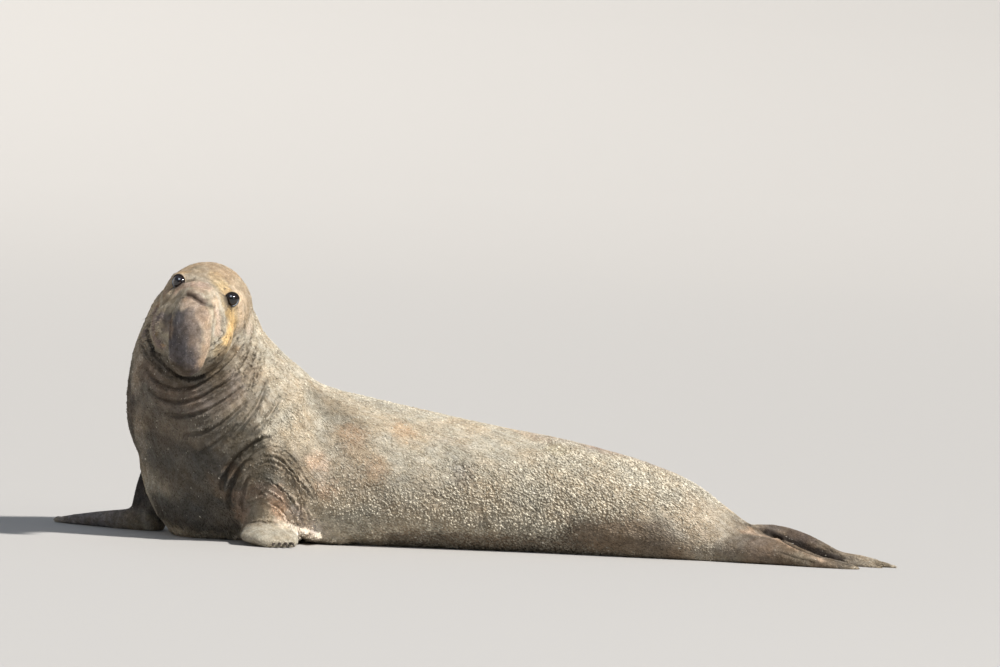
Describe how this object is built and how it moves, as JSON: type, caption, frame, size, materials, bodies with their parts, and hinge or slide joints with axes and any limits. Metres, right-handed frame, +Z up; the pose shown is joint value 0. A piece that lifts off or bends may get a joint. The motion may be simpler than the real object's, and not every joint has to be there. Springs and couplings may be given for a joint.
{
  "type": "elephant seal",
  "caption": "Life-size still model of a young male elephant seal resting on the floor with its head raised and turned to the side, for display.",
  "frame": {"origin": "on the floor, under the middle of the whole animal's bounding box", "axes": "+X towards the tail, along the body's length; -Y the way the head looks, with the animal's left flank towards it; +Z up"},
  "size_m": [3.9428, 1.229, 1.2902],
  "materials": {
    "sandy_coat": "short flat fur, sandy grey-beige, clotted with sand",
    "tan_face": "very short golden-tan fur over skin",
    "bare_skin": "dark brown-grey wrinkled skin with sparse short hair",
    "horn": "dark worn horn, half gloss",
    "dark_eye": "near-black wet gloss"
  },
  "bodies": {
    "root": {"proboscis": "tan_face", "muzzle": "tan_face", "lower_jaw": "tan_face", "head": "tan_face", "neck": "sandy_coat", "chest": "sandy_coat", "trunk": "sandy_coat", "hips": "sandy_coat", "tail": "bare_skin", "left_foreflipper": "bare_skin", "left_hand": "bare_skin", "right_foreflipper": "bare_skin", "right_hand": "bare_skin", "left_hind_flipper": "bare_skin", "right_hind_flipper": "bare_skin", "eye_left": "dark_eye", "eye_right": "dark_eye", "left_claw_1": "horn", "left_claw_2": "horn", "left_claw_3": "horn", "left_claw_4": "horn", "left_claw_5": "horn", "right_claw_1": "horn", "right_claw_2": "horn", "right_claw_3": "horn", "right_claw_4": "horn", "right_claw_5": "horn"}
  },
  "joints": []
}
